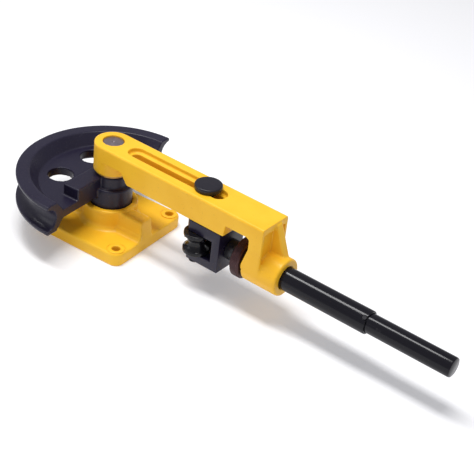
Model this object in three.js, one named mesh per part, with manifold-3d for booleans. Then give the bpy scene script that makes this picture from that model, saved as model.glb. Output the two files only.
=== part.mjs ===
// Manual bench bender for tube and bar: a grooved half-round former stands on a bolted-down cast
// base, and a lever swings round the same pivot pin, carrying two grooved pressure rollers.
//
// Frame: millimetres, +Z up. The origin is on the pivot axis at the underside of the base, and +X
// runs along the lever to the handle. The bend plane is the horizontal plane through the middle of
// the groove; the screw and the handle lie in it too.

import * as THREE from 'three';
import { mergeVertices } from 'three/addons/utils/BufferGeometryUtils.js';
import Module from 'manifold-3d';

const wasm = await Module();
wasm.setup();

// ---------------------------------------------------------------- driving dimensions

const GAP = 0.3;                 // running clearance between pieces
const FINE = 48;                 // facets round a large circle
const MEDIUM = 32;               // facets round a shaft
const SMALL = 16;                // facets round a small pin

const REST_TURN_DEG = 4;         // base and former stand turned this far from the lever's line

const BEND_RADIUS = 100;         // outside radius of the former's rim
const GROOVE_RADIUS = 13;        // half-round groove for 25 mm tube
const GROOVE_LIP = 4.2;          // rim above and below the groove
const BEND_PLANE_Z = 52.6;       // height of the groove's middle

const BASE_SIDE = 112;           // square base plate
const BASE_CORNER = 10;
const BASE_THICKNESS = 14;
const BASE_EDGE = 2;
const PAD_RISE = 1.3;            // bolt pads stand above the plate
const PAD_RADIUS = 9.5;
const BOLT_PITCH = 91;
const BOLT_HOLE_RADIUS = 4.5;
const RING_RADIUS = 29;          // boss that holds the former's hub
const RING_TOP = 36.5;
const RING_FILLET = 7;
const SOCKET_RADIUS = 22.9;
const SOCKET_FLOOR = 22;
const RIB_WIDTH = 17;            // rib across the base, at its top
const RIB_OFFSET = -6.5;
const RIB_TOP = 34.8;
const RIB_DRAFT = 3;               // slope of the rib's front side and ends
const RIB_FOOT = 6;

const PIN_RADIUS = 11;           // pivot pin
const PIN_FOOT = 7;
const PIN_RECESS = 1.4;          // pin end below the top of the lever

const HUB_RADIUS = 18;           // former's hub above the shoulder
const HUB_SHOULDER_Z = 57.4;
const HUB_TOP = 70.6;
const HUB_CHAMFER = 1.6;
const WEB_BOTTOM = 47.5;
const WEB_TOP = 57;
const RIM_WIDTH = 14;            // flat top of the rim
const RIM_SLOPE = 10;            // how far the rim's inner face runs in to the web
const RIM_EDGE = 1.5;
const LIGHTENING_RADIUS = 13.7;  // two round holes in the web
const LIGHTENING_X = -48;
const LIGHTENING_Y = 26;
const BAR_WIDTH = 20;            // raised bar along the straight side
const BAR_HALF_LENGTH = 54;

const KEY_SIDE = 6;              // key between the former's hub and the base
const KEY_LENGTH = 11;

const WASHER_THICKNESS = 2.2;    // between the former and the lever
const WASHER_RADIUS = 17.5;

const ARM_WIDTH = 40;
const ARM_HEIGHT = 33;           // top of the lever above the foot of its hub
const ARM_EDGE = 2;
const ARM_HUB_RADIUS = 20;
const BEAM_DEPTH = 29;
const NECK_DEPTH = 18;           // thin stretch next to the hub
const NECK_END = 29.5;
const NECK_SLANT = 8.5;
const BUSH_WALL = 2.4;
const BUSH_SHOULDER = 7;         // metal above the bush

const SLOT_START = 33;           // centre of the slot's round inner end
const SLOT_BEYOND = 13;          // centre of the outer end, beyond the knob
const SLOT_RADIUS = 9.3;
const SLOT_LEDGE = 5;
const SLOT_THROUGH_RADIUS = 5.6;

const REST_CLEARANCE = 16;       // from the former's rim to the rollers at rest
const ROLLER_RADIUS = 13.5;
const ROLLER_SPACING = 28;
const ROLLER_LIP = 5;
const ROLLER_PIN_RADIUS = 4;
const ROLLER_BUSH_WALL = 1.6;

const YOKE_LENGTH = 44;
const YOKE_NOSE = 11.5;          // from the roller axes to the yoke's nose
const YOKE_WIDTH = 40;
const YOKE_PLATE = 9.2;
const YOKE_TOP_PLATE = 12.4;
const YOKE_WALL = 9.4;
const YOKE_CORNER = 4.5;

const STUD_RADIUS = 5;
const STUD_SETBACK = 2.2;        // the stud stands this far inward of the roller axes
const COLLAR_HEIGHT = 4.4;
const COLLAR_RADIUS = 8.6;
const KNOB_RADIUS = 14.2;
const KNOB_HEIGHT = 6;
const KNOB_RIM = 3.4;
const KNOB_SHOULDER = 1.8;

const SCREW_RADIUS = 6;
const SCREW_TAIL = 86;           // screw beyond the wheel
const SCREW_COLLAR_RADIUS = 11;
const SCREW_COLLAR_LENGTH = 14;
const WHEEL_RADIUS = 21.8;
const WHEEL_THICKNESS = 10.6;
const WHEEL_EDGE = 1.6;
const THRUST_THICKNESS = 1.6;
const THRUST_RADIUS = 13;

const LEG_THICKNESS = 21.8;
const LEG_TOP_INSET = 6.5;       // how far the notch cuts into the leg's root
const NOTCH_LENGTH = 26.5;
const NOTCH_DEPTH = 12.6;
const POCKET_DEPTH = 3.2;        // recesses in the leg's back, either side of the gusset
const POCKET_WALL = 3.6;
const GUSSET_THICKNESS = 8.5;
const GUSSET_OFFSET = 5.2;       // the gusset stands behind the lever's middle
const BOSS_RADIUS = 19.8;
const BOSS_REACH = 20;           // boss beyond the leg's face
const GUSSET_REACH = 14.8;       // gusset's foot along the boss

const TUBE_RADIUS = 12;
const TUBE_LENGTH = 114;
const TUBE_SOCKET = 17;          // length of tube inside the boss
const TUBE_NOTCH = 5.5;
const BAR_RADIUS = 10;
const BAR_REACH = 90;            // extension bar beyond the tube's end
const BAR_INSERT = 44;           // extension bar inside the tube
const BAR_CHAMFER = 1.5;
const CROSS_PIN_RADIUS = 2.2;
const CROSS_PIN_DEG = 40;        // lean of the cross pin from upright
const GRUB_RADIUS = 3;

// ---------------------------------------------------------------- derived places

const rimTop = BEND_PLANE_Z + GROOVE_RADIUS + GROOVE_LIP;
const rimBottom = BEND_PLANE_Z - GROOVE_RADIUS - GROOVE_LIP;
const armFoot = HUB_TOP + GAP + WASHER_THICKNESS + GAP;
const armTop = armFoot + ARM_HEIGHT;
const beamBottom = armTop - BEAM_DEPTH;
const boreRadius = PIN_RADIUS + GAP;
const rollerX = BEND_RADIUS + REST_CLEARANCE + ROLLER_RADIUS;
const yokeNose = rollerX - YOKE_NOSE;
const yokeBack = yokeNose + YOKE_LENGTH;
const yokeTop = beamBottom - 1.5 * GAP;
const openingTop = yokeTop - YOKE_TOP_PLATE;
const openingBottom = 2 * BEND_PLANE_Z - openingTop;
const yokeBottom = openingBottom - YOKE_PLATE;
const studX = rollerX - STUD_SETBACK;
const slotEnd = studX + SLOT_BEYOND;
const collarEnd = yokeBack + GAP + SCREW_COLLAR_LENGTH;
const wheelStart = collarEnd + GAP;
const wheelEnd = wheelStart + WHEEL_THICKNESS;
const legFace = wheelEnd + GAP + THRUST_THICKNESS + GAP;
const legBack = legFace + LEG_THICKNESS;
const bossEnd = legBack + BOSS_REACH;
const tubeStart = bossEnd - TUBE_SOCKET;
const tubeEnd = tubeStart + TUBE_LENGTH;
const tubeInnerRadius = BAR_RADIUS + GAP;
const tubeBoreRadius = TUBE_RADIUS + GAP;

// ---------------------------------------------------------------- materials

const finish = (color, roughness, metalness) =>
  new THREE.MeshStandardMaterial({ color, roughness, metalness });
const yellowPaint = () => finish(0xf5b52e, 0.42, 0.0);
const blackPaint = () => finish(0x26242c, 0.38, 0.1);
const blackOxide = () => finish(0x2c2b31, 0.35, 0.6);
const brownWheel = () => finish(0x4a2a2c, 0.4, 0.5);
const bareSteel = () => finish(0x8e868c, 0.35, 0.9);
const bronze = () => finish(0xa87a3c, 0.4, 0.9);
const blackPlastic = () => finish(0x1c1c22, 0.3, 0.0);

// ---------------------------------------------------------------- solids and booleans

// A closed geometry as a manifold solid, with its faces turned outwards.
function solid(geometry) {
  const bare = geometry.index ? geometry.toNonIndexed() : geometry.clone();
  bare.deleteAttribute('normal');
  bare.deleteAttribute('uv');
  const merged = mergeVertices(bare, 1e-4);
  const place = merged.attributes.position;
  const corners = [];
  let volume = 0;
  const [a, b, c] = [new THREE.Vector3(), new THREE.Vector3(), new THREE.Vector3()];
  for (let i = 0; i < merged.index.count; i += 3) {
    const [p, q, r] = [0, 1, 2].map((k) => merged.index.getX(i + k));
    if (p === q || q === r || r === p) continue;
    corners.push(p, q, r);
    a.fromBufferAttribute(place, p);
    b.fromBufferAttribute(place, q);
    c.fromBufferAttribute(place, r);
    volume += a.dot(b.cross(c));
  }
  if (volume < 0) {
    corners.reverse();
  }
  const mesh = new wasm.Mesh({
    numProp: 3,
    vertProperties: new Float32Array(place.array),
    triVerts: new Uint32Array(corners),
  });
  mesh.merge();
  return new wasm.Manifold(mesh);
}

const union = (...parts) => parts.reduce((whole, part) => whole.add(part));
const minus = (whole, ...cuts) => cuts.reduce((rest, cut) => rest.subtract(cut), whole);
const moved = (part, x, y, z) => part.translate([x, y, z]);

// A solid turned round a profile of [radius, height] points about Z.
function turned(profile, facets = FINE) {
  const points = profile.map(([radius, height]) => new THREE.Vector2(radius, height));
  return solid(new THREE.LatheGeometry(points, facets).rotateX(Math.PI / 2));
}

const rod = (radius, bottom, top, facets = MEDIUM) =>
  turned([[0, bottom], [radius, bottom], [radius, top], [0, top]], facets);

// A rod whose two ends are chamfered.
const chamferedRod = (radius, bottom, top, chamfer, facets = MEDIUM) => turned([
  [0, bottom], [radius - chamfer, bottom], [radius, bottom + chamfer],
  [radius, top - chamfer], [radius - chamfer, top], [0, top],
], facets);

const ring = (inner, outer, bottom, top, facets = MEDIUM) => turned([
  [inner, bottom], [outer, bottom], [outer, top], [inner, top], [inner, bottom],
], facets);

const block = (x0, x1, y0, y1, z0, z1) => solid(
  new THREE.BoxGeometry(x1 - x0, y1 - y0, z1 - z0)
    .translate((x0 + x1) / 2, (y0 + y1) / 2, (z0 + z1) / 2));

// Points along an arc, in degrees, both ends included.
function arc(cx, cy, radius, from, to, steps = 5) {
  return Array.from({ length: steps + 1 }, (_, i) => {
    const angle = THREE.MathUtils.degToRad(from + ((to - from) * i) / steps);
    return [cx + radius * Math.cos(angle), cy + radius * Math.sin(angle)];
  });
}

const outline = (points) => new THREE.Shape(points.map(([x, y]) => new THREE.Vector2(x, y)));
const extruded = (points, depth) =>
  new THREE.ExtrudeGeometry(outline(points), { depth, bevelEnabled: false });

// Extrusions along Z, along Y (points are [x, z]) and along X (points are [y, z]).
const alongZ = (points, z0, z1) => solid(extruded(points, z1 - z0).translate(0, 0, z0));
const alongY = (points, y0, y1) => solid(
  extruded(points, y1 - y0).translate(0, 0, -y1).rotateX(Math.PI / 2));
const alongX = (points, x0, x1) => solid(extruded(points, x1 - x0).translate(0, 0, x0)
  .applyMatrix4(new THREE.Matrix4().makeBasis(
    new THREE.Vector3(0, 1, 0), new THREE.Vector3(0, 0, 1), new THREE.Vector3(1, 0, 0))));

// A rectangle with rounded corners.
function roundedBox(x0, x1, y0, y1, radius, steps = 4) {
  return [
    ...arc(x1 - radius, y1 - radius, radius, 0, 90, steps),
    ...arc(x0 + radius, y1 - radius, radius, 90, 180, steps),
    ...arc(x0 + radius, y0 + radius, radius, 180, 270, steps),
    ...arc(x1 - radius, y0 + radius, radius, 270, 360, steps),
  ];
}

// A slot with round ends, its end centres at x0 and x1 on the X axis.
const roundedSlot = (x0, x1, radius, steps = 12) => [
  ...arc(x1, 0, radius, -90, 90, steps), ...arc(x0, 0, radius, 90, 270, steps),
];

// A solid back as a named three.js mesh.
function piece(name, part, material) {
  const { vertProperties, triVerts } = part.getMesh();
  const geometry = new THREE.BufferGeometry();
  geometry.setAttribute('position', new THREE.BufferAttribute(vertProperties, 3));
  geometry.setIndex(new THREE.BufferAttribute(triVerts, 1));
  geometry.computeVertexNormals();
  const mesh = new THREE.Mesh(geometry, material);
  mesh.name = name;
  return mesh;
}

// ---------------------------------------------------------------- base, pin and former

const keyCut = (radius) => block(
  -radius - KEY_SIDE / 2 - GAP, -radius + KEY_SIDE / 2 + GAP,
  -KEY_SIDE / 2 - GAP, KEY_SIDE / 2 + GAP,
  RING_TOP - GAP - KEY_LENGTH - GAP, RING_TOP + GAP);

// Cast base: square plate with bolt pads, a boss with a socket for the former's hub, and a rib.
function baseCasting() {
  const half = BASE_SIDE / 2;
  const inset = BASE_EDGE;
  const plate = alongZ(roundedBox(-half, half, -half, half, BASE_CORNER), 0, BASE_THICKNESS - inset);
  const crownPlan = roundedBox(
    -half + inset, half - inset, -half + inset, half - inset, BASE_CORNER - inset);
  const crown = solid(new THREE.ExtrudeGeometry(outline(crownPlan), {
    depth: BASE_THICKNESS - 2 * inset, bevelSize: inset, bevelThickness: inset, bevelSegments: 2,
  }).translate(0, 0, inset));
  const footRadius = RING_RADIUS + RING_FILLET;
  const boss = turned([
    [0, 1], [footRadius, 1], [footRadius, BASE_THICKNESS - GAP],
    ...arc(footRadius, BASE_THICKNESS + RING_FILLET, RING_FILLET, 270, 180),
    [RING_RADIUS, RING_TOP - 1.5], [RING_RADIUS - 1.5, RING_TOP], [0, RING_TOP],
  ]);
  const ribFront = RIB_OFFSET - RIB_WIDTH / 2;
  const ribRear = RIB_OFFSET + RIB_WIDTH / 2;
  const rib = alongX([
    [ribFront - RIB_DRAFT - RIB_FOOT, BASE_THICKNESS - 1], [ribRear + 1, BASE_THICKNESS - 1],
    ...arc(ribRear - 2, RIB_TOP - 2, 2, 5, 90, 3),
    ...arc(ribFront + 2, RIB_TOP - 2, 2, 90, 170, 3),
    ...arc(ribFront - RIB_DRAFT - RIB_FOOT, BASE_THICKNESS + RIB_FOOT, RIB_FOOT, -10, -80, 3),
  ], -half, half);
  const ribEnd = RIB_DRAFT;
  const ribLimit = alongY([
    [-half, 0], [half, 0], [half, BASE_THICKNESS], [half - ribEnd, RIB_TOP - 2],
    [half - ribEnd - 2, RIB_TOP + 1], [-half + ribEnd + 2, RIB_TOP + 1],
    [-half + ribEnd, RIB_TOP - 2], [-half, BASE_THICKNESS],
  ], -half, half);
  const corners = [[1, 1], [1, -1], [-1, 1], [-1, -1]]
    .map(([i, j]) => [(i * BOLT_PITCH) / 2, (j * BOLT_PITCH) / 2]);
  const pads = corners.map(([x, y]) => moved(
    chamferedRod(PAD_RADIUS, 1, BASE_THICKNESS + PAD_RISE, 0.8, SMALL + 8), x, y, 0));
  const holes = corners.map(([x, y]) => moved(
    rod(BOLT_HOLE_RADIUS, -1, BASE_THICKNESS + PAD_RISE + 1, SMALL), x, y, 0));
  return minus(
    union(plate, crown, boss, rib.intersect(ribLimit), ...pads),
    rod(SOCKET_RADIUS, SOCKET_FLOOR, RING_TOP + 1, FINE),
    rod(boreRadius, PIN_FOOT - GAP, RING_TOP + 1),
    keyCut(SOCKET_RADIUS), ...holes);
}

// Half-round former: grooved rim, web with two holes, bar along the straight side, round hub.
function formingDie() {
  const innerTop = BEND_RADIUS - RIM_WIDTH;
  const innerWeb = innerTop - RIM_SLOPE;
  const rim = turned([
    [HUB_RADIUS / 2, WEB_BOTTOM], [innerWeb, WEB_BOTTOM], [innerTop, rimBottom],
    [BEND_RADIUS - RIM_EDGE, rimBottom], [BEND_RADIUS, rimBottom + RIM_EDGE],
    ...arc(BEND_RADIUS, BEND_PLANE_Z, GROOVE_RADIUS, 270, 90, 10),
    [BEND_RADIUS, rimTop - RIM_EDGE], [BEND_RADIUS - RIM_EDGE, rimTop],
    [innerTop, rimTop], [innerWeb, WEB_TOP], [HUB_RADIUS / 2, WEB_TOP],
    [HUB_RADIUS / 2, WEB_BOTTOM],
  ], 1.5 * FINE);
  const straightCut = block(0, 2 * BEND_RADIUS, -2 * BEND_RADIUS, 2 * BEND_RADIUS, 0, 2 * rimTop);
  const bar = block(-BAR_WIDTH, 0, -BAR_HALF_LENGTH, BAR_HALF_LENGTH, WEB_BOTTOM, rimTop);
  const hubFoot = SOCKET_FLOOR + GAP;
  const hubLowerRadius = SOCKET_RADIUS - GAP;
  const hub = turned([
    [0, hubFoot], [hubLowerRadius - 1, hubFoot], [hubLowerRadius, hubFoot + 1],
    [hubLowerRadius, HUB_SHOULDER_Z - 1], [hubLowerRadius - 1, HUB_SHOULDER_Z],
    [HUB_RADIUS, HUB_SHOULDER_Z + 1], [HUB_RADIUS, HUB_TOP - HUB_CHAMFER],
    [HUB_RADIUS - HUB_CHAMFER, HUB_TOP], [0, HUB_TOP],
  ]);
  const lightening = [-1, 1].map((side) => moved(
    rod(LIGHTENING_RADIUS, WEB_BOTTOM - 1, WEB_TOP + 1), LIGHTENING_X, side * LIGHTENING_Y, 0));
  return minus(
    union(minus(rim, straightCut), bar, hub),
    ...lightening, rod(boreRadius, 0, HUB_TOP + 1), keyCut(SOCKET_RADIUS));
}

const key = () => block(
  -SOCKET_RADIUS - KEY_SIDE / 2, -SOCKET_RADIUS + KEY_SIDE / 2, -KEY_SIDE / 2, KEY_SIDE / 2,
  RING_TOP - GAP - KEY_LENGTH, RING_TOP - GAP);

// ---------------------------------------------------------------- lever

// Side view of the lever: hub end, thin neck, deep beam, notch over the wheel, leg.
function leverSide() {
  const legRoot = legFace + LEG_TOP_INSET;
  const notchStart = legRoot - 4 - NOTCH_LENGTH;
  const notchRoof = beamBottom + NOTCH_DEPTH;
  const bossLow = BEND_PLANE_Z - BOSS_RADIUS - 1;
  return [
    [-ARM_HUB_RADIUS - 1, armTop - NECK_DEPTH], [NECK_END, armTop - NECK_DEPTH],
    [NECK_END + NECK_SLANT, beamBottom], [notchStart, beamBottom],
    [notchStart + 1.5, notchRoof], [legRoot - 4, notchRoof],
    ...arc(legRoot - 4, notchRoof - 4, 4, 90, 0, 3).slice(1),
    [legRoot, beamBottom + 1], [legFace + 3, beamBottom - 10], [legFace, BEND_PLANE_Z + 5],
    [legFace, bossLow], [legBack, bossLow], [legBack, armTop], [-ARM_HUB_RADIUS - 1, armTop],
  ];
}

// Cross section of the lever: straight sides, rounded top edges, and a round foot on the boss axis.
function leverSection() {
  const half = ARM_WIDTH / 2;
  return [
    ...arc(half - ARM_EDGE, armTop - ARM_EDGE, ARM_EDGE, 0, 90, 3),
    ...arc(-half + ARM_EDGE, armTop - ARM_EDGE, ARM_EDGE, 90, 180, 3),
    [-half, beamBottom - 6], [-BOSS_RADIUS, BEND_PLANE_Z],
    ...arc(0, BEND_PLANE_Z, BOSS_RADIUS, 180, 360, 20).slice(1, -1),
    [BOSS_RADIUS, BEND_PLANE_Z], [half, beamBottom - 6],
  ];
}

// Cast lever: slotted beam, pivot hub, and a leg whose boss takes the handle tube.
function leverArm() {
  const half = ARM_WIDTH / 2;
  const far = bossEnd + 1;
  const plan = alongZ([
    ...arc(0, 0, ARM_HUB_RADIUS, 90, 270, 24), [0, -half], [far, -half], [far, half], [0, half],
  ], 0, armTop + 1);
  const beam = alongY(leverSide(), -half, half)
    .intersect(alongX(leverSection(), -ARM_HUB_RADIUS - 1, far)).intersect(plan);
  const hub = turned([
    [0, armFoot], [ARM_HUB_RADIUS - 1, armFoot], [ARM_HUB_RADIUS, armFoot + 1],
    [ARM_HUB_RADIUS, armTop - ARM_EDGE], [ARM_HUB_RADIUS - 0.6, armTop - 0.6],
    [ARM_HUB_RADIUS - ARM_EDGE, armTop], [0, armTop],
  ]);
  const boss = turned([
    [0, legFace + 1], [BOSS_RADIUS - 1, legFace + 1], [BOSS_RADIUS, legFace + 2],
    [BOSS_RADIUS, bossEnd - 2], [BOSS_RADIUS - 2, bossEnd], [0, bossEnd],
  ]).rotate([0, 90, 0]);
  const gussetFront = GUSSET_OFFSET - GUSSET_THICKNESS / 2;
  const gussetRear = GUSSET_OFFSET + GUSSET_THICKNESS / 2;
  const gusset = alongY([
    [legBack - POCKET_DEPTH - 1, armTop - 2.4], [legBack + 1.4, armTop - 2.4],
    [legBack + GUSSET_REACH, BEND_PLANE_Z + BOSS_RADIUS - 3.5],
    [legBack + GUSSET_REACH, BEND_PLANE_Z], [legBack - POCKET_DEPTH - 1, BEND_PLANE_Z],
  ], gussetFront, gussetRear);
  const pocketSide = half - POCKET_WALL;
  const pockets = [[-pocketSide, gussetFront], [gussetRear, pocketSide]].map(([near, far]) => alongX(
    roundedBox(near, far, BEND_PLANE_Z + 8, armTop - 7.4, 1.5, 2),
    legBack - POCKET_DEPTH, legBack + 1));
  const bushRadius = boreRadius + BUSH_WALL + GAP;
  const cuts = [
    rod(boreRadius, 0, armTop + 1),
    rod(bushRadius, 0, armTop - BUSH_SHOULDER),
    alongZ(roundedSlot(SLOT_START, slotEnd, SLOT_RADIUS), armTop - SLOT_LEDGE, armTop + 1),
    alongZ(roundedSlot(SLOT_START, slotEnd, SLOT_THROUGH_RADIUS), 0, armTop + 1)
      .intersect(block(0, slotEnd + SLOT_RADIUS, -half, half, beamBottom - 1, armTop + 1)),
  ];
  const axisCuts = [
    rod(SCREW_RADIUS + 2 * GAP, legFace - 1, bossEnd + 1),
    rod(tubeBoreRadius, tubeStart - GAP, bossEnd + 1),
  ].map((cut) => moved(cut.rotate([0, 90, 0]), 0, 0, BEND_PLANE_Z));
  const grubHole = moved(
    rod(GRUB_RADIUS + GAP, -BOSS_RADIUS - 1, -TUBE_RADIUS, SMALL), grubX(), 0, BEND_PLANE_Z);
  return minus(
    union(minus(union(beam, hub), ...pockets), gusset, moved(boss, 0, 0, BEND_PLANE_Z)),
    ...cuts, ...axisCuts, grubHole);
}

const grubX = () => bossEnd - TUBE_SOCKET / 2;

const armBush = () => ring(
  boreRadius, boreRadius + BUSH_WALL, armFoot + GAP, armTop - BUSH_SHOULDER - GAP);

// ---------------------------------------------------------------- handle, along its own Z

const crossPinCut = (extra) => rod(
  CROSS_PIN_RADIUS + extra, -2 * TUBE_RADIUS, 2 * TUBE_RADIUS, SMALL)
  .rotate([0, 90, 0]);

// Handle tube, with two notches in its end that the cross pin drops into.
function handleTube() {
  const shell = turned([
    [tubeInnerRadius, tubeStart], [TUBE_RADIUS, tubeStart], [TUBE_RADIUS, tubeEnd - 0.8],
    [TUBE_RADIUS - 0.8, tubeEnd], [tubeInnerRadius, tubeEnd], [tubeInnerRadius, tubeStart],
  ]);
  const width = CROSS_PIN_RADIUS + GAP;
  const notch = union(
    block(-2 * TUBE_RADIUS, 2 * TUBE_RADIUS, -width, width, pinZ(), tubeEnd + 1),
    moved(crossPinCut(GAP), 0, 0, pinZ()));
  return minus(shell, notch);
}

const pinZ = () => tubeEnd - TUBE_NOTCH + CROSS_PIN_RADIUS + GAP;

const extensionBar = () => minus(
  chamferedRod(BAR_RADIUS, tubeEnd - BAR_INSERT, tubeEnd + BAR_REACH, BAR_CHAMFER),
  moved(crossPinCut(GAP), 0, 0, pinZ()));

const crossPin = () => moved(
  rod(CROSS_PIN_RADIUS, -TUBE_RADIUS + GAP, TUBE_RADIUS - GAP, SMALL).rotate([0, 90, 0]),
  0, 0, pinZ());

// ---------------------------------------------------------------- carriage

// Roller yoke: a block open to the former and to both sides, with a plate above and below.
function rollerYoke() {
  const half = YOKE_WIDTH / 2;
  const nose = alongZ([
    [yokeNose + YOKE_CORNER, -half], [yokeBack, -half], [yokeBack, half],
    [yokeNose + YOKE_CORNER, half], [yokeNose, half - YOKE_CORNER - 1],
    [yokeNose, -half + YOKE_CORNER + 1],
  ], yokeBottom, yokeTop);
  const opening = block(
    yokeNose - 1, yokeBack - YOKE_WALL, -half - 1, half + 1, openingBottom, openingTop);
  const pinHoles = rollerPlaces().map(([x, y]) => moved(
    rod(ROLLER_PIN_RADIUS + GAP, yokeBottom - 1, openingTop + 5, SMALL), x, y, 0));
  const screwHole = rod(SCREW_RADIUS + GAP, yokeBack - YOKE_WALL - 1, yokeBack + 1)
    .rotate([0, 90, 0]).translate([0, 0, BEND_PLANE_Z]);
  const studHole = moved(rod(STUD_RADIUS + GAP, openingTop + 3, yokeTop + 1), studX, 0, 0);
  const lockHole = moved(
    rod(2 + GAP, BEND_PLANE_Z - 10, yokeTop + 1, SMALL), yokeBack - YOKE_WALL / 2, 0, 0);
  return minus(nose, opening, ...pinHoles, screwHole, studHole, lockHole);
}

const rollerPlaces = () => [[rollerX, -ROLLER_SPACING / 2], [rollerX, ROLLER_SPACING / 2]];

// Roller, on its own axis: two lips with a half-round waist between them.
function roller() {
  const top = openingTop - BEND_PLANE_Z - GAP;
  const grooveHalf = top - ROLLER_LIP;
  const waist = 4.5;
  const sweep = THREE.MathUtils.radToDeg(Math.asin(Math.min(1, grooveHalf / (grooveHalf + 2))));
  const curve = grooveHalf + 2;
  const centre = ROLLER_RADIUS - waist + curve;
  const bore = ROLLER_PIN_RADIUS + ROLLER_BUSH_WALL + 2 * GAP;
  return turned([
    [bore, -top], [ROLLER_RADIUS - 0.8, -top], [ROLLER_RADIUS, -top + 0.8],
    [ROLLER_RADIUS, -grooveHalf],
    ...arc(centre, 0, curve, 180 + sweep, 180 - sweep, 8)
      .filter(([radius]) => radius < ROLLER_RADIUS - 0.1 && radius > bore + 1),
    [ROLLER_RADIUS, grooveHalf], [ROLLER_RADIUS, top - 0.8], [ROLLER_RADIUS - 0.8, top],
    [bore, top], [bore, -top],
  ], MEDIUM);
}

const rollerBush = () => {
  const reach = openingTop - BEND_PLANE_Z - GAP - 0.5;
  const inner = ROLLER_PIN_RADIUS + GAP;
  return ring(inner, inner + ROLLER_BUSH_WALL, -reach, reach);
};

// Pin with a head below the yoke and a groove for its clip.
const rollerPin = () => turned([
  [0, yokeBottom - 2.6], [ROLLER_PIN_RADIUS - 0.6, yokeBottom - 2.6],
  [ROLLER_PIN_RADIUS, yokeBottom - 2], [ROLLER_PIN_RADIUS, yokeBottom - 1.6],
  [ROLLER_PIN_RADIUS - 0.8, yokeBottom - 1.6], [ROLLER_PIN_RADIUS - 0.8, yokeBottom - GAP / 2],
  [ROLLER_PIN_RADIUS, yokeBottom - GAP / 2], [ROLLER_PIN_RADIUS, openingTop + 4.5],
  [0, openingTop + 4.5],
], SMALL);

// Open retaining ring that snaps into the pin's groove.
const retainingClip = () => minus(
  ring(ROLLER_PIN_RADIUS - 0.5, ROLLER_PIN_RADIUS + 2.4, yokeBottom - 1.35, yokeBottom - GAP, SMALL),
  block(0, 3 * ROLLER_PIN_RADIUS, -2.6, 2.6, yokeBottom - 3, yokeBottom + 1));

// ---------------------------------------------------------------- clamp knob and stud

const stud = () => rod(STUD_RADIUS, openingTop + 3 + GAP, armTop + KNOB_HEIGHT * 0.6);

const collar = () => {
  const foot = armTop - SLOT_LEDGE + GAP;
  return ring(STUD_RADIUS + GAP, COLLAR_RADIUS, foot, foot + COLLAR_HEIGHT);
};

// Low round knob with a crowned top, screwed down on the stud.
function clampKnob() {
  const bottom = armTop + GAP;
  const top = bottom + KNOB_HEIGHT;
  const flat = KNOB_RADIUS - KNOB_SHOULDER;
  return turned([
    [STUD_RADIUS + GAP, bottom], [KNOB_RADIUS - 1.2, bottom], [KNOB_RADIUS, bottom + 1.2],
    ...arc(flat, bottom + KNOB_RIM, KNOB_SHOULDER, 0, 75, 4),
    [flat - 3.5, top - 0.5], [0, top],
    [0, armTop + KNOB_HEIGHT * 0.6 + GAP], [STUD_RADIUS + GAP, armTop + KNOB_HEIGHT * 0.6 + GAP],
    [STUD_RADIUS + GAP, bottom],
  ], MEDIUM);
}

// ---------------------------------------------------------------- screw and wheel, along their own Z

// Pressure screw: fixed in the yoke's wall, runs through the wheel into the hollow handle.
const pressureScrew = () => minus(
  chamferedRod(SCREW_RADIUS, yokeBack - YOKE_WALL + GAP, wheelEnd + SCREW_TAIL, 1),
  moved(rod(2 + GAP, -2 * SCREW_RADIUS, 2 * SCREW_RADIUS, SMALL).rotate([0, 90, 0]),
    0, 0, yokeBack - YOKE_WALL / 2));

const screwCollar = () => turned([
  [SCREW_RADIUS + GAP, yokeBack + GAP], [SCREW_COLLAR_RADIUS - 0.8, yokeBack + GAP],
  [SCREW_COLLAR_RADIUS, yokeBack + GAP + 0.8], [SCREW_COLLAR_RADIUS, collarEnd - 0.8],
  [SCREW_COLLAR_RADIUS - 0.8, collarEnd], [SCREW_RADIUS + GAP, collarEnd],
  [SCREW_RADIUS + GAP, yokeBack + GAP],
], MEDIUM);

// Adjusting wheel: a round nut; the knurl on its rim is finer than this model shows.
const adjustingWheel = () => turned([
  [SCREW_RADIUS + GAP, wheelStart], [WHEEL_RADIUS - WHEEL_EDGE, wheelStart],
  [WHEEL_RADIUS, wheelStart + WHEEL_EDGE], [WHEEL_RADIUS, wheelEnd - WHEEL_EDGE],
  [WHEEL_RADIUS - WHEEL_EDGE, wheelEnd], [SCREW_RADIUS + GAP, wheelEnd],
  [SCREW_RADIUS + GAP, wheelStart],
]);

const thrustRing = () => ring(
  SCREW_RADIUS + 2 * GAP, THRUST_RADIUS, wheelEnd + GAP, wheelEnd + GAP + THRUST_THICKNESS);

// ---------------------------------------------------------------- the assembly

const bender = new THREE.Group();

const bench = new THREE.Group();
bench.rotation.z = THREE.MathUtils.degToRad(REST_TURN_DEG);
bench.add(
  piece('base_casting', baseCasting(), yellowPaint()),
  piece('forming_die', formingDie(), blackPaint()),
  piece('pivot_pin', chamferedRod(PIN_RADIUS, PIN_FOOT, armTop - PIN_RECESS, 0.6), bareSteel()),
  piece('die_key', key(), bareSteel()),
  piece('thrust_washer', ring(
    boreRadius, WASHER_RADIUS, HUB_TOP + GAP, HUB_TOP + GAP + WASHER_THICKNESS), bronze()));
bender.add(bench);

const lever = new THREE.Group();
lever.add(
  piece('lever_arm', leverArm(), yellowPaint()),
  piece('arm_bush', armBush(), bronze()));
bender.add(lever);

// Pieces on the screw axis are made along Z, and this group lays Z along X in the bend plane.
const screwLine = new THREE.Group();
screwLine.position.z = BEND_PLANE_Z;
screwLine.rotation.y = Math.PI / 2;
screwLine.add(
  piece('pressure_screw', pressureScrew(), blackOxide()),
  piece('screw_collar', screwCollar(), blackOxide()),
  piece('adjusting_wheel', adjustingWheel(), brownWheel()),
  piece('wheel_thrust_ring', thrustRing(), bareSteel()));

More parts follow.
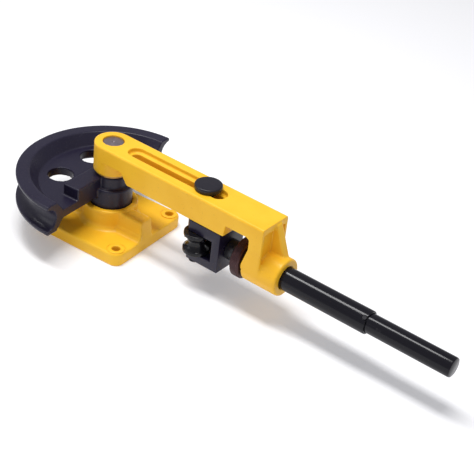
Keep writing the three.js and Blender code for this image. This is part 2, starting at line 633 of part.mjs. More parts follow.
// The cross pin and its notches lean towards the front.
const handle = new THREE.Group();
handle.rotation.z = THREE.MathUtils.degToRad(CROSS_PIN_DEG);
handle.add(
  piece('handle_tube', handleTube(), blackOxide()),
  piece('extension_bar', extensionBar(), blackOxide()),
  piece('bar_cross_pin', crossPin(), blackOxide()));
screwLine.add(handle);
bender.add(screwLine);

const grub = piece('tube_grub_screw', rod(
  GRUB_RADIUS, -BOSS_RADIUS + 1, -TUBE_RADIUS - GAP, SMALL), blackOxide());
grub.position.set(grubX(), 0, BEND_PLANE_Z);
bender.add(grub);

const carriage = new THREE.Group();
carriage.add(piece('roller_yoke', rollerYoke(), blackPaint()));
const lockPin = piece('screw_lock_pin', rod(
  2, BEND_PLANE_Z - 9, BEND_PLANE_Z + 14, SMALL), bareSteel());
lockPin.position.x = yokeBack - YOKE_WALL / 2;
carriage.add(lockPin);
[['front', 0], ['rear', 1]].forEach(([side, index]) => {
  const [x, y] = rollerPlaces()[index];
  const set = new THREE.Group();
  set.position.set(x, y, 0);
  const wheels = new THREE.Group();
  wheels.position.z = BEND_PLANE_Z;
  wheels.add(
    piece(`roller_${side}`, roller(), blackPaint()),
    piece(`roller_bush_${side}`, rollerBush(), bronze()));
  set.add(
    wheels,
    piece(`roller_pin_${side}`, rollerPin(), bareSteel()),
    piece(`roller_clip_${side}`, retainingClip(), blackOxide()));
  carriage.add(set);
});
const clamp = new THREE.Group();
clamp.position.x = studX;
clamp.add(
  piece('carriage_stud', stud(), bareSteel()),
  piece('slot_collar', collar(), blackOxide()),
  piece('clamp_knob', clampKnob(), blackPlastic()));
carriage.add(clamp);
bender.add(carriage);

export default bender;
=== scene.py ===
# Bench bender for tube and bar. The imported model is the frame: metres, +Z up, the pivot axis at
# the origin, +X along the lever to the handle.
import math

import bmesh
import bpy
from mathutils import Matrix, Vector


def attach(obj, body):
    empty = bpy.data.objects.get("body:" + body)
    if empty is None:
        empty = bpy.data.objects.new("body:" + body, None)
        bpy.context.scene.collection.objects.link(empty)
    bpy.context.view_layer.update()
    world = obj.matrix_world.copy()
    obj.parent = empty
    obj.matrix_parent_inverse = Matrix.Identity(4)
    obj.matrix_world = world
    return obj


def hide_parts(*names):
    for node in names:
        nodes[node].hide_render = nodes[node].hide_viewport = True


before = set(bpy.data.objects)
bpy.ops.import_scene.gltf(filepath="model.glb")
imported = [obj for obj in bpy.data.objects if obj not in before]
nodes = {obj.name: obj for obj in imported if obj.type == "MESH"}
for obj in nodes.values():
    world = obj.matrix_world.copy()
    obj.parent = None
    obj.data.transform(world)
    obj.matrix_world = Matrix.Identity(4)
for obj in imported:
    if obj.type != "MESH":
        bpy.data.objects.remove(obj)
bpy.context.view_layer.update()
mm = 0.001

# ------------------------------------------------------------------ camera
# A long lens, to the right of the bender and in front of it, looking down on the bend plane and
# held a little off level.
VIEW_YAW = math.radians(34.49)
VIEW_PITCH = math.radians(33.57)
VIEW_ROLL = math.radians(6.99)
ahead = Vector((-math.sin(VIEW_YAW) * math.cos(VIEW_PITCH),
                math.cos(VIEW_YAW) * math.cos(VIEW_PITCH), -math.sin(VIEW_PITCH)))
level = Vector((math.cos(VIEW_YAW), math.sin(VIEW_YAW), 0))
upright = level.cross(ahead)
across = math.cos(VIEW_ROLL) * level + math.sin(VIEW_ROLL) * upright
above = math.cos(VIEW_ROLL) * upright - math.sin(VIEW_ROLL) * level
bpy.ops.object.select_all(action="DESELECT")
bpy.ops.object.camera_add()
camera = bpy.context.object
camera.name = "camera"
camera.matrix_world = Matrix.Translation((0.70736, -0.78480, 0.70122)) @ Matrix(
    (across, above, -ahead)).transposed().to_4x4()
camera.data.sensor_width = 36
camera.data.lens = 88.29
camera.data.clip_start = 0.02
bpy.context.scene.camera = camera


# ------------------------------------------------------------------ floor and studio light
# A pale sweep of paper, a soft box overhead, a weaker one in front on the left, a narrow strip
# that draws the line of light along the handle, and even light all round.
class Wire:
    """One shader socket. Sums on wires and numbers add Math nodes, and node() adds any other."""

    def __init__(self, tree, socket=None):
        self.tree, self.socket = tree, socket

    def node(self, kind, settings=(), sockets=(), out=0):
        made = self.tree.nodes.new("ShaderNode" + kind)
        for name, value in dict(settings).items():
            setattr(made, name, value)
        for name, value in dict(sockets).items():
            if isinstance(value, Wire):
                self.tree.links.new(value.socket, made.inputs[name])
            else:
                made.inputs[name].default_value = value
        return Wire(self.tree, made.outputs[out])

    def sum(self, operation, first, second):
        return self.node("Math", {"operation": operation}, {0: first, 1: second})

    def __add__(self, other):
        return self.sum("ADD", self, other)

    def __mul__(self, other):
        return self.sum("MULTIPLY", self, other)

    __radd__, __rmul__ = __add__, __mul__


class Finish:
    """A material with one Principled shader: uniform numbers are set on the shader's sockets."""

    def __init__(self, name, **uniform):
        self.material = bpy.data.materials.new(name)
        self.material.use_nodes = True
        tree = self.material.node_tree
        self.shader = tree.nodes["Principled BSDF"]
        self.at = Wire(tree)
        self.place = self.at.node("TexCoord", out="Object")
        for socket, value in uniform.items():
            self.shader.inputs[socket.replace("_", " ")].default_value = value

    def noise(self, per_metre, detail=2.0, place=None):
        return self.at.node("TexNoise", {}, {
            "Vector": place or self.place, "Scale": per_metre, "Detail": detail})

    def mix(self, factor, dull, bright):
        """Two colours, or a colour and a wire, mixed by a wire."""
        wide = [value if isinstance(value, Wire) else (*value, 1) for value in (dull, bright)]
        return self.at.node("Mix", {"data_type": "RGBA"}, {0: factor, 6: wide[0], 7: wide[1]}, 2)

    def between(self, value, low, high, to_low=0.0, to_high=1.0):
        return self.at.node("MapRange", {}, {
            "Value": value, "From Min": low, "From Max": high,
            "To Min": to_low, "To Max": to_high})

    def varies(self, **wires):
        for socket, wire in wires.items():
            self.at.tree.links.new(wire.socket, self.shader.inputs[socket.replace("_", " ")])

    def bump(self, height, depth):
        self.varies(Normal=self.at.node("Bump", {}, {"Height": height, "Distance": depth}))

    def on(self, *things):
        for thing in things:
            thing.data.materials.clear()
            thing.data.materials.append(self.material)


paper = Finish("pale_paper", Roughness=0.9, Specular_IOR_Level=0.1,
               Emission_Color=(1, 1, 1, 1), Emission_Strength=0.15)
paper.varies(Base_Color=paper.mix(
    0.4 * paper.noise(3.0), (0.84, 0.84, 0.85), (0.88, 0.88, 0.89)))
bpy.ops.object.select_all(action="DESELECT")
bpy.ops.mesh.primitive_plane_add(size=12)
floor = bpy.context.object
floor.name = "floor"
paper.on(floor)


def soft_box(name, place, aim, width, depth, watts):
    bpy.ops.object.select_all(action="DESELECT")
    bpy.ops.object.light_add(type="AREA", location=place)
    lamp = bpy.context.object
    lamp.name = name
    lamp.data.shape = "RECTANGLE"
    lamp.data.size, lamp.data.size_y = width, depth
    lamp.data.energy = watts
    lamp.rotation_euler = (Vector(aim) - Vector(place)).to_track_quat("-Z", "Y").to_euler()
    return lamp


soft_box("soft_box_top", (-0.05, -0.12, 1.6), (0.12, -0.12, 0), 0.36, 1.1, 20)
soft_box("soft_box_front_left", (-1.2, -1.5, 0.8), (0.1, 0, 0.05), 1.0, 0.8, 4.5)
soft_box("strip_over_lever", (-0.69, -0.18, 1.32), (0.3, 0, 0.05), 0.025, 0.8, 2.4)
sky = bpy.data.worlds.new("studio")
bpy.context.scene.world = sky
sky.use_nodes = True
sky.node_tree.nodes["Background"].inputs["Color"].default_value = (0.95, 0.95, 1.0, 1)
sky.node_tree.nodes["Background"].inputs["Strength"].default_value = 0.46
bpy.context.scene.view_settings.view_transform = "Standard"

# ------------------------------------------------------------------ base casting
# The foot of the bender: a square grey-iron plate with four bolt pads, a round boss bored for the
# former's hub and a rib across it. Sand cast, bored, drilled and enamelled yellow.
BASE_SIDE = 112 * mm
BASE_THICKNESS = 14 * mm
BASE_TURN = math.radians(4)
RING_RADIUS = 29 * mm
RING_TOP = 36.5 * mm
RING_FILLET = 7 * mm
SOCKET_RADIUS = 22.9 * mm
BORE_RADIUS = 11.3 * mm
BOLT_PITCH = 91 * mm


def fresh(kind, **sizes):
    """A primitive on its own, its place already in its mesh."""
    bpy.ops.object.select_all(action="DESELECT")
    getattr(bpy.ops.mesh, f"primitive_{kind}_add")(**sizes)
    bpy.ops.object.transform_apply(location=True, rotation=True, scale=True)
    return bpy.context.object


def block(x0, x1, y0, y1, z0, z1):
    return fresh("cube", size=1, scale=(x1 - x0, y1 - y0, z1 - z0),
                 location=((x0 + x1) / 2, (y0 + y1) / 2, (z0 + z1) / 2))


def rod(radius, low, high, x=0.0, y=0.0, facets=64):
    return fresh("cylinder", vertices=facets, radius=radius, depth=high - low,
                 location=(x, y, (low + high) / 2))


def rod_along_x(radius, low, high, y=0.0, z=0.0, facets=64):
    return fresh("cylinder", vertices=facets, radius=radius, depth=high - low,
                 location=((low + high) / 2, y, z), rotation=(0, math.pi / 2, 0))


def tyre(radius, thickness, z, facets=96):
    return fresh("torus", major_radius=radius, minor_radius=thickness, major_segments=facets,
                 minor_segments=32, location=(0, 0, z))


def alone(piece):
    bpy.ops.object.select_all(action="DESELECT")
    piece.select_set(True)
    bpy.context.view_layer.objects.active = piece


def shape(piece, kind, test, operator, **how):
    """An edit-mode operator on the corners, edges or faces whose ends and middle pass the test."""
    alone(piece)
    bpy.ops.object.mode_set(mode="EDIT")
    bpy.ops.mesh.select_mode(type=kind)
    bpy.ops.mesh.select_all(action="DESELECT")
    mesh = bmesh.from_edit_mesh(piece.data)
    for part in {"VERT": mesh.verts, "EDGE": mesh.edges, "FACE": mesh.faces}[kind]:
        places = [end.co for end in ([part] if kind == "VERT" else part.verts)]
        places.append(sum(places, Vector()) / len(places))
        part.select_set(all(test(*(place / mm)) for place in places))
    bmesh.update_edit_mesh(piece.data)
    operator(**how)
    bpy.ops.object.mode_set(mode="OBJECT")


def rounded(piece, test, radius, steps=3):
    """A round on the edges that pass the test."""
    shape(piece, "EDGE", test, bpy.ops.mesh.bevel, offset=radius, segments=steps,
          affect="EDGES", clamp_overlap=False)


def shifted(piece, test, *way):
    shape(piece, "VERT", test, bpy.ops.transform.translate, value=way)


def modified(piece, kind, **settings):
    alone(piece)
    modifier = piece.modifiers.new(kind.lower(), kind)
    for name, value in settings.items():
        setattr(modifier, name, value)
    bpy.ops.object.modifier_apply(modifier=modifier.name)


def combined(piece, operation, tools):
    for tool in tools:
        modified(piece, "BOOLEAN", operation=operation, object=tool, solver="EXACT")
        bpy.data.objects.remove(tool)
    return piece


def welded(piece, *tools):
    return combined(piece, "UNION", tools)


def bored(piece, *tools):
    return combined(piece, "DIFFERENCE", tools)


def turned(piece, axis, angle, lift=0.0):
    """Turns a piece about an axis through the origin, then lifts it, and sets both in its mesh."""
    alone(piece)
    piece.rotation_euler["XYZ".index(axis)] = angle
    piece.location.z = lift
    bpy.ops.object.transform_apply(location=True, rotation=True, scale=True)
    return piece


def sand_cast(piece, grid):
    """The small rounds that moulding sand and thick enamel leave on edges and in corners."""
    modified(piece, "REMESH", mode="VOXEL", voxel_size=grid, use_smooth_shade=True)
    modified(piece, "SMOOTH", factor=0.5, iterations=3)
    alone(piece)
    bpy.ops.object.shade_smooth()


def stands_for(piece, node, body):
    piece.name = node + "_finished"
    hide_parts(node)
    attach(piece, body)


half = BASE_SIDE / 2
base = block(-half, half, -half, half, 0, BASE_THICKNESS)
for corner_x, corner_y in ((-56, -56), (-56, 56), (56, -56), (56, 56)):
    rounded(base, lambda x, y, z: abs(x - corner_x) < 0.1 and abs(y - corner_y) < 0.1, 10 * mm, 8)
rounded(base, lambda x, y, z: z > 13.9, 2 * mm)
flare_top = BASE_THICKNESS + RING_FILLET - 0.3 * mm
flare = bored(rod(RING_RADIUS + RING_FILLET, 1 * mm, flare_top, facets=96),
              tyre(RING_RADIUS + RING_FILLET, RING_FILLET, flare_top))
ring = rod(RING_RADIUS, 1 * mm, RING_TOP, facets=96)
rounded(ring, lambda x, y, z: z > 36.4, 1.5 * mm)
rib = block(-half, half, -15 * mm, 2 * mm, 13 * mm, 34.8 * mm)
shifted(rib, lambda x, y, z: z < 14 and y < -14, 0, -3 * mm, 0)
shifted(rib, lambda x, y, z: z > 34 and x > 55, -3 * mm, 0, 0)
shifted(rib, lambda x, y, z: z > 34 and x < -55, 3 * mm, 0, 0)
rounded(rib, lambda x, y, z: z > 34, 2 * mm)
rib_foot = bored(block(-half, half, -24 * mm, -16 * mm, 13 * mm, 20 * mm),
                 rod_along_x(6 * mm, -60 * mm, 60 * mm, y=-24 * mm, z=20 * mm))
pad = rod(9.5 * mm, 1 * mm, 15.3 * mm, facets=48)
rounded(pad, lambda x, y, z: z > 15.2, 0.8 * mm)


def copied(piece, x=0.0, y=0.0, z=0.0):
    """A copy with its own mesh, moved."""
    alone(piece)
    bpy.ops.object.duplicate()
    twin = bpy.context.object
    twin.location = (x, y, z)
    bpy.ops.object.transform_apply(location=True, rotation=True, scale=True)
    return twin


corners = [(x * BOLT_PITCH / 2, y * BOLT_PITCH / 2) for x in (-1, 1) for y in (-1, 1)]
pads = [copied(pad, x, y) for x, y in corners]
bpy.data.objects.remove(pad)
welded(base, flare, ring, rib, rib_foot, *pads)
bored(base, rod(SOCKET_RADIUS, 22 * mm, 40 * mm, facets=96), rod(BORE_RADIUS, 6.7 * mm, 40 * mm),
      block(-26.2 * mm, -19.6 * mm, -3.3 * mm, 3.3 * mm, 24.9 * mm, 40 * mm),
      *(rod(4.5 * mm, -1 * mm, 20 * mm, x, y, facets=32) for x, y in corners))
sand_cast(base, 0.85 * mm)
for x, y in corners:
    bored(base, bored(rod(10 * mm, 14 * mm, 18 * mm, x, y), rod(8.9 * mm, 13 * mm, 19 * mm, x, y)))
turned(base, "Z", BASE_TURN)

enamel = Finish("yellow_enamel", Roughness=0.36, Specular_IOR_Level=0.28)
settled = enamel.noise(24, 3)                 # the coat is thicker in some places than others
specks = enamel.between(enamel.noise(620, 4), 0.66, 0.74)
enamel.varies(
    Base_Color=enamel.mix(specks * 0.5, enamel.mix(
        enamel.between(settled, 0.35, 0.65), (0.88, 0.475, 0.018), (0.93, 0.53, 0.028)),
        (0.52, 0.27, 0.02)),
    Roughness=enamel.between(enamel.noise(90, 3), 0.3, 0.7, 0.30, 0.44))
enamel.bump(0.7 * enamel.noise(260, 2) + 0.3 * enamel.noise(900, 3), 0.12 * mm)
enamel.on(base)
stands_for(base, "base_casting", "base")

# ------------------------------------------------------------------ forming die
# The half-round former that the tube is drawn round: a grooved rim on a thin web with two
# lightening holes, a raised bar along the straight side and a hub. Cast iron, black enamel.
DIE_RADIUS = 100 * mm
RIM_TOP = 69.8 * mm
RIM_BOTTOM = 35.4 * mm
WEB_TOP = 57 * mm
WEB_BOTTOM = 47.5 * mm
BEND_PLANE = 52.6 * mm
GROOVE_RADIUS = 13 * mm

die = rod(DIE_RADIUS, RIM_BOTTOM, RIM_TOP, facets=192)
rounded(die, lambda x, y, z: z > 69.7 or z < 35.5, 1.5 * mm, 2)
bored(
    die,
    fresh("cone", vertices=192, radius1=76 * mm, radius2=87 * mm, depth=14.08 * mm,
          location=(0, 0, WEB_TOP + 7.04 * mm)),
    fresh("cone", vertices=192, radius1=87 * mm, radius2=76 * mm, depth=13.31 * mm,
          location=(0, 0, WEB_BOTTOM - 6.655 * mm)),
    tyre(DIE_RADIUS, GROOVE_RADIUS, BEND_PLANE, facets=192),
    block(0, 120 * mm, -120 * mm, 120 * mm, 20 * mm, 80 * mm))
hub_low = rod(22.6 * mm, 22.3 * mm, 57.4 * mm)
rounded(hub_low, lambda x, y, z: z > 57 or z < 23, 1.6 * mm)
hub_high = rod(18 * mm, 50 * mm, 70.6 * mm)
rounded(hub_high, lambda x, y, z: z > 70, 1.6 * mm)
welded(die, block(-20 * mm, 0, -54 * mm, 54 * mm, WEB_BOTTOM, RIM_TOP), hub_low, hub_high)
bored(die, rod(13.7 * mm, 40 * mm, 60 * mm, -48 * mm, -26 * mm),
      rod(13.7 * mm, 40 * mm, 60 * mm, -48 * mm, 26 * mm), rod(BORE_RADIUS, 0, 80 * mm),
      block(-26.2 * mm, -19.6 * mm, -3.3 * mm, 3.3 * mm, 24.9 * mm, 36.8 * mm))
sand_cast(die, 0.95 * mm)
turned(die, "Z", BASE_TURN)

black = Finish("black_enamel", Roughness=0.30, Specular_IOR_Level=0.34)
dust = black.between(black.noise(700, 4), 0.62, 0.70)
black.varies(
    Base_Color=black.mix(dust * 0.35, black.mix(
        black.noise(18, 3), (0.007, 0.005, 0.017), (0.013, 0.010, 0.031)), (0.09, 0.08, 0.10)),
    Roughness=black.between(black.noise(60, 4), 0.3, 0.7, 0.27, 0.42))
black.bump(0.6 * black.noise(240, 2) + 0.4 * black.noise(1100, 3), 0.12 * mm)
black.on(die)
stands_for(die, "forming_die", "base")

# ------------------------------------------------------------------ pivot pin, key and washer
# The lever and the former turn on one ground steel pin, pressed up from below, with a lathe
# centre in its end. A square key holds the former to the base, and a bronze washer lies on it.
pin = rod(11 * mm, 7 * mm, 105 * mm)
rounded(pin, lambda x, y, z: z > 104.9 or z < 7.1, 0.7 * mm)
bored(pin, fresh("cone", vertices=32, radius1=0.2 * mm, radius2=2.2 * mm, depth=2 * mm,
                 location=(0, 0, 104.2 * mm)))
alone(pin)
bpy.ops.object.shade_smooth_by_angle(angle=math.radians(35))
turned(pin, "Z", BASE_TURN)


def turning_marks(finish, tool_pitch):
    """Fine rings round the pivot axis, left by the lathe tool on an end face."""
    flat = finish.at.node("VectorMath", {"operation": "MULTIPLY"}, {0: finish.place, 1: (1, 1, 0)})
    radius = finish.at.node("VectorMath", {"operation": "LENGTH"}, {0: flat}, "Value")
    return finish.at.node("Math", {"operation": "SINE"}, {0: 2 * math.pi / tool_pitch * radius})


bright = Finish("ground_steel", Metallic=0.85, Roughness=0.34)
bright.varies(
    Base_Color=bright.mix(bright.noise(160, 4), (0.20, 0.16, 0.18), (0.33, 0.28, 0.30)),
    Roughness=bright.between(bright.noise(300, 3), 0.3, 0.7, 0.28, 0.48))
bright.bump(0.3 * turning_marks(bright, 0.9 * mm) + bright.noise(1500, 3), 0.05 * mm)
bright.on(pin, nodes["die_key"])
stands_for(pin, "pivot_pin", "base")

bronze = Finish("bronze", Metallic=0.9, Roughness=0.38)
bronze.varies(
    Base_Color=bronze.mix(bronze.noise(120, 4), (0.34, 0.19, 0.06), (0.50, 0.31, 0.11)),
    Roughness=bronze.between(bronze.noise(400, 3), 0.3, 0.7, 0.30, 0.5))
bronze.bump(bronze.noise(1300, 3), 0.04 * mm)
bronze.on(nodes["thrust_washer"], nodes["arm_bush"], nodes["roller_bush_front"],
          nodes["roller_bush_rear"])

# ------------------------------------------------------------------ lever arm
# One casting: a pivot hub, a slotted beam with a ledge for the clamp, a notch over the adjusting
# wheel, and a leg with two pockets and a gusset down to the boss that takes the handle tube.
ARM_TOP = 106.4 * mm
ARM_FOOT = 73.4 * mm
BEAM_BOTTOM = 77.4 * mm
ARM_HALF = 20 * mm
LEG_FACE = 189.4 * mm
LEG_BACK = 211.2 * mm
BOSS_RADIUS = 19.8 * mm
BOSS_END = 231.2 * mm

arm = block(0, LEG_BACK, -ARM_HALF, ARM_HALF, BEAM_BOTTOM, ARM_TOP)
rounded(arm, lambda x, y, z: z > 106 and abs(y) > 19, 2 * mm)
neck = block(-25 * mm, 43.7 * mm, -25 * mm, 25 * mm, 70 * mm, 88.4 * mm)
shifted(neck, lambda x, y, z: x > 40 and z > 88, -14.2 * mm, 0, 0)
bored(arm, neck)
hub = rod(ARM_HALF, ARM_FOOT, ARM_TOP, facets=96)
rounded(hub, lambda x, y, z: z > 106, 2 * mm)
rounded(hub, lambda x, y, z: z < 74, 1 * mm, 1)
leg = block(LEG_FACE, LEG_BACK, -ARM_HALF, ARM_HALF, BEND_PLANE, 90 * mm)
shifted(leg, lambda x, y, z: z < 53 and y > 0, 0, -0.2 * mm, 0)
shifted(leg, lambda x, y, z: z < 53 and y < 0, 0, 0.2 * mm, 0)
welded(arm, hub, leg)
notch = block(165.4 * mm, 195.9 * mm, -25 * mm, 25 * mm, 57.6 * mm, 90 * mm)
shape(notch, "FACE", lambda x, y, z: True, bpy.ops.mesh.bisect,
      plane_co=(0, 0, 78.4 * mm), plane_no=(0, 0, 1))
shifted(notch, lambda x, y, z: z < 58 and x > 190, -6.5 * mm, 0, 0)
shifted(notch, lambda x, y, z: z > 89 and x < 170, 1.5 * mm, 0, 0)
rounded(notch, lambda x, y, z: z > 89 and x > 190, 4 * mm, 5)
GUSSET_FRONT = 0.95 * mm
GUSSET_REAR = 9.45 * mm
pockets = [block(LEG_BACK - 3.2 * mm, LEG_BACK + 3 * mm, near, far, 60.6 * mm, 99 * mm)
           for near, far in ((-16.4 * mm, GUSSET_FRONT), (GUSSET_REAR, 16.4 * mm))]
for pocket in pockets:
    rounded(pocket, lambda x, y, z: z > 98.9, 1.5 * mm)
bored(arm, notch, *pockets)
boss = rod_along_x(BOSS_RADIUS, LEG_FACE + 1 * mm, BOSS_END, z=BEND_PLANE, facets=96)
rounded(boss, lambda x, y, z: x > 231, 2 * mm)
gusset = block(207 * mm, 226 * mm, GUSSET_FRONT, GUSSET_REAR, 68.9 * mm, 104 * mm)
shifted(gusset, lambda x, y, z: z > 103 and x > 225, -13.4 * mm, 0, 0)
welded(arm, boss, gusset)


def slot_cutter(radius, low, high):
    """A rod at the slot's inner end, its outer half drawn out to the slot's other end."""
    cutter = rod(radius, low, high, x=33 * mm, facets=48)
    shifted(cutter, lambda x, y, z: x > 33.01, 107.3 * mm, 0, 0)
    return cutter


bored(arm, slot_cutter(9.3 * mm, 101.4 * mm, 110 * mm), slot_cutter(5.6 * mm, 70 * mm, 110 * mm),
      rod(14 * mm, 60 * mm, 99.4 * mm), rod(BORE_RADIUS, 60 * mm, 110 * mm),
      rod_along_x(6.6 * mm, 185 * mm, 235 * mm, z=BEND_PLANE),
      rod_along_x(12.3 * mm, 213.9 * mm, 235 * mm, z=BEND_PLANE),
      rod(3.3 * mm, 25 * mm, 42 * mm, x=222.7 * mm, facets=24))
sand_cast(arm, 0.8 * mm)
enamel.on(arm)
stands_for(arm, "lever_arm", "lever")

# ------------------------------------------------------------------ roller yoke
# The block that carries the two pressure rollers between its top and bottom plates, and slides
# under the beam. Machined from bar, edges broken, black enamel.
ROLLER_X = 129.5 * mm
STUD_X = 127.3 * mm

yoke = block(118 * mm, 162 * mm, -20 * mm, 20 * mm, 31.45 * mm, 76.95 * mm)
for side in (-20, 20):
    rounded(yoke, lambda x, y, z: x < 119 and abs(y - side) < 0.1, 5 * mm, 1)
bored(yoke, block(110 * mm, 152.6 * mm, -25 * mm, 25 * mm, 40.65 * mm, 64.55 * mm))
modified(yoke, "BEVEL", width=0.7 * mm, segments=3, limit_method="ANGLE",
         angle_limit=math.radians(35), use_clamp_overlap=False)
bored(yoke, *(rod(4.3 * mm, 25 * mm, 69.55 * mm, ROLLER_X, y, facets=32)
              for y in (-14 * mm, 14 * mm)),
      rod_along_x(6.3 * mm, 150 * mm, 165 * mm, z=BEND_PLANE, facets=48),
      rod(5.3 * mm, 67.55 * mm, 80 * mm, STUD_X, facets=32),
      rod(2.3 * mm, 42.6 * mm, 80 * mm, 157.3 * mm, facets=24))
alone(yoke)
bpy.ops.object.shade_smooth_by_angle(angle=math.radians(30))
black.on(yoke)
stands_for(yoke, "roller_yoke", "carriage")

# ------------------------------------------------------------------ pressure rollers
# Two hardened rollers with a waist that holds the tube against the former. Each is turned, bored
# for a bronze bush, and runs on a headed pin held by an open clip under the yoke.
roller = rod(13.5 * mm, 40.95 * mm, 64.25 * mm, facets=96)
rounded(roller, lambda x, y, z: z > 64 or z < 41, 0.9 * mm)
bored(roller, tyre(17.65 * mm, 8.65 * mm, BEND_PLANE),
      rod(6.2 * mm, 30 * mm, 80 * mm))
modified(roller, "BEVEL", width=0.45 * mm, segments=2, limit_method="ANGLE",
         angle_limit=math.radians(40), use_clamp_overlap=False)
alone(roller)
bpy.ops.object.shade_smooth_by_angle(angle=math.radians(35))

gloss = Finish("polished_black_roller", Roughness=0.14, Specular_IOR_Level=0.28)
gloss.varies(
    Base_Color=gloss.mix(gloss.noise(140, 4), (0.004, 0.004, 0.006), (0.010, 0.009, 0.012)),
    Roughness=gloss.between(gloss.noise(260, 3), 0.35, 0.65, 0.12, 0.26))
gloss.bump(gloss.noise(500, 2), 0.04 * mm)
for end, y in (("front", -14 * mm), ("rear", 14 * mm)):
    grooved = copied(roller, ROLLER_X, y)
    gloss.on(grooved)
    stands_for(grooved, f"roller_{end}", f"{end}_roller")
bpy.data.objects.remove(roller)
bright.on(nodes["roller_pin_front"], nodes["roller_pin_rear"], nodes["screw_lock_pin"],
          nodes["carriage_stud"])

oxide = Finish("black_oxide", Metallic=0.1, Roughness=0.3, Specular_IOR_Level=0.4)
oxide.varies(
    Base_Color=oxide.mix(oxide.noise(90, 5), (0.012, 0.012, 0.015), (0.030, 0.029, 0.034)),
    Roughness=oxide.between(oxide.noise(180, 4), 0.3, 0.7, 0.24, 0.40))
oxide.bump(oxide.noise(900, 3), 0.05 * mm)
oxide.on(nodes["roller_clip_front"], nodes["roller_clip_rear"], nodes["tube_grub_screw"])

# ------------------------------------------------------------------ clamp knob and its collar
# The stud from the yoke comes up through the slot. A collar rides on the slot's ledge, and a
# moulded phenolic knob screws down on the stud to hold the rollers where they are set.
knob = rod(14.2 * mm, 106.7 * mm, 112.3 * mm, x=STUD_X, facets=96)
rounded(knob, lambda x, y, z: z < 106.8, 1.2 * mm)
rounded(knob, lambda x, y, z: z > 112.2, 1.6 * mm, 5)
shape(knob, "FACE", lambda x, y, z: z > 112.29, bpy.ops.mesh.inset, thickness=3 * mm,
      depth=0.12 * mm)
bored(knob, rod(5.3 * mm, 100 * mm, 110.3 * mm, x=STUD_X, facets=48))
alone(knob)
bpy.ops.object.shade_smooth_by_angle(angle=math.radians(30))

phenolic = Finish("black_phenolic", Roughness=0.36, Specular_IOR_Level=0.4)
phenolic.varies(
    Base_Color=phenolic.mix(phenolic.noise(220, 4), (0.004, 0.003, 0.008), (0.009, 0.007, 0.015)),
    Roughness=phenolic.between(phenolic.noise(330, 3), 0.3, 0.7, 0.28, 0.46))
phenolic.bump(phenolic.noise(700, 2), 0.06 * mm)
phenolic.on(knob)
stands_for(knob, "clamp_knob", "knob")
oxide.on(nodes["slot_collar"])

# ------------------------------------------------------------------ pressure screw and its collar
# The screw is pinned in the yoke and runs back through the wheel into the hollow handle. A turned
# collar on it bears on the yoke. Both are blackened steel.
collar = rod_along_x(11 * mm, 162.3 * mm, 176.3 * mm, z=BEND_PLANE, facets=96)
rounded(collar, lambda x, y, z: x > 176.2 or x < 162.4, 0.8 * mm)
bored(collar, rod_along_x(6.3 * mm, 160 * mm, 180 * mm, z=BEND_PLANE, facets=48))
alone(collar)
bpy.ops.object.shade_smooth_by_angle(angle=math.radians(35))
oxide.on(collar, nodes["pressure_screw"])
stands_for(collar, "screw_collar", "carriage")

# ------------------------------------------------------------------ adjusting wheel
# A round steel nut with a straight knurl on its rim. It runs on the screw and pushes against a
# bright thrust ring in front of the leg. Browned, not painted.
wheel = rod_along_x(21.4 * mm, 176.6 * mm, 187.2 * mm, z=BEND_PLANE, facets=132)
rounded(wheel, lambda x, y, z: x > 187.1 or x < 176.7, 1.4 * mm, 1)
shape(wheel, "FACE", lambda x, y, z: 177.9 < x < 185.9 and (y * y + (z - 52.6) ** 2) > 440,
      bpy.ops.mesh.inset, thickness=0.22 * mm, depth=0.38 * mm, use_individual=True)
bored(wheel, rod_along_x(6.3 * mm, 170 * mm, 190 * mm, z=BEND_PLANE, facets=48))
alone(wheel)
bpy.ops.object.shade_smooth_by_angle(angle=math.radians(25))

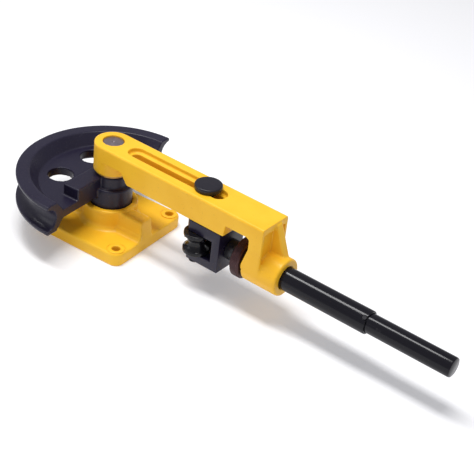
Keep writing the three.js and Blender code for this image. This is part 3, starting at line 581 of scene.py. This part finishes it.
browned = Finish("browned_steel", Metallic=0.6, Roughness=0.34)
browned.varies(
    Base_Color=browned.mix(browned.noise(110, 4), (0.040, 0.015, 0.017), (0.075, 0.034, 0.036)),
    Roughness=browned.between(browned.noise(240, 3), 0.3, 0.7, 0.27, 0.44))
browned.bump(browned.noise(1000, 3), 0.05 * mm)
browned.on(wheel)
stands_for(wheel, "adjusting_wheel", "wheel")
bright.on(nodes["wheel_thrust_ring"])

# ------------------------------------------------------------------ handle
# A drawn steel tube held in the lever's boss by a grub screw, and a longer solid bar pushed into
# it. The bar's cross pin drops into two notches in the tube's end. Both are blackened.
PIN_LEAN = math.radians(40)
tube = rod_along_x(12 * mm, 214.2 * mm, 328.2 * mm, facets=96)
rounded(tube, lambda x, y, z: x > 328.1, 0.9 * mm)
bored(tube, rod_along_x(10.3 * mm, 210 * mm, 330 * mm, facets=96),
      block(325.2 * mm, 335 * mm, -2.5 * mm, 2.5 * mm, -20 * mm, 20 * mm),
      rod(2.5 * mm, -20 * mm, 20 * mm, x=325.2 * mm, facets=32))
bar = rod_along_x(10 * mm, 284.2 * mm, 418.2 * mm, facets=96)
rounded(bar, lambda x, y, z: x > 418.1 or x < 284.3, 1.5 * mm, 2)
bored(bar, rod(2.5 * mm, -20 * mm, 20 * mm, x=325.2 * mm, facets=32))
for part in (tube, bar):
    alone(part)
    bpy.ops.object.shade_smooth_by_angle(angle=math.radians(35))
    turned(part, "X", PIN_LEAN, BEND_PLANE)

drawn = Finish("blackened_tube", Roughness=0.2, Specular_IOR_Level=0.24)
lengthwise = drawn.at.node("Mapping", {}, {"Vector": drawn.place, "Scale": (0.03, 1, 1)})
scuffs = drawn.between(drawn.noise(150, 5), 0.64, 0.72)
drawn.varies(
    Base_Color=drawn.mix(scuffs * 0.4, drawn.mix(
        drawn.noise(420, 4, lengthwise), (0.004, 0.004, 0.007), (0.009, 0.008, 0.012)),
        (0.03, 0.028, 0.03)),
    Roughness=drawn.between(drawn.noise(200, 3, lengthwise), 0.3, 0.7, 0.13, 0.2))
drawn.bump(drawn.noise(300, 2, lengthwise), 0.01 * mm)
drawn.on(tube, bar)
stands_for(tube, "handle_tube", "lever")
stands_for(bar, "extension_bar", "extension")
oxide.on(nodes["bar_cross_pin"])
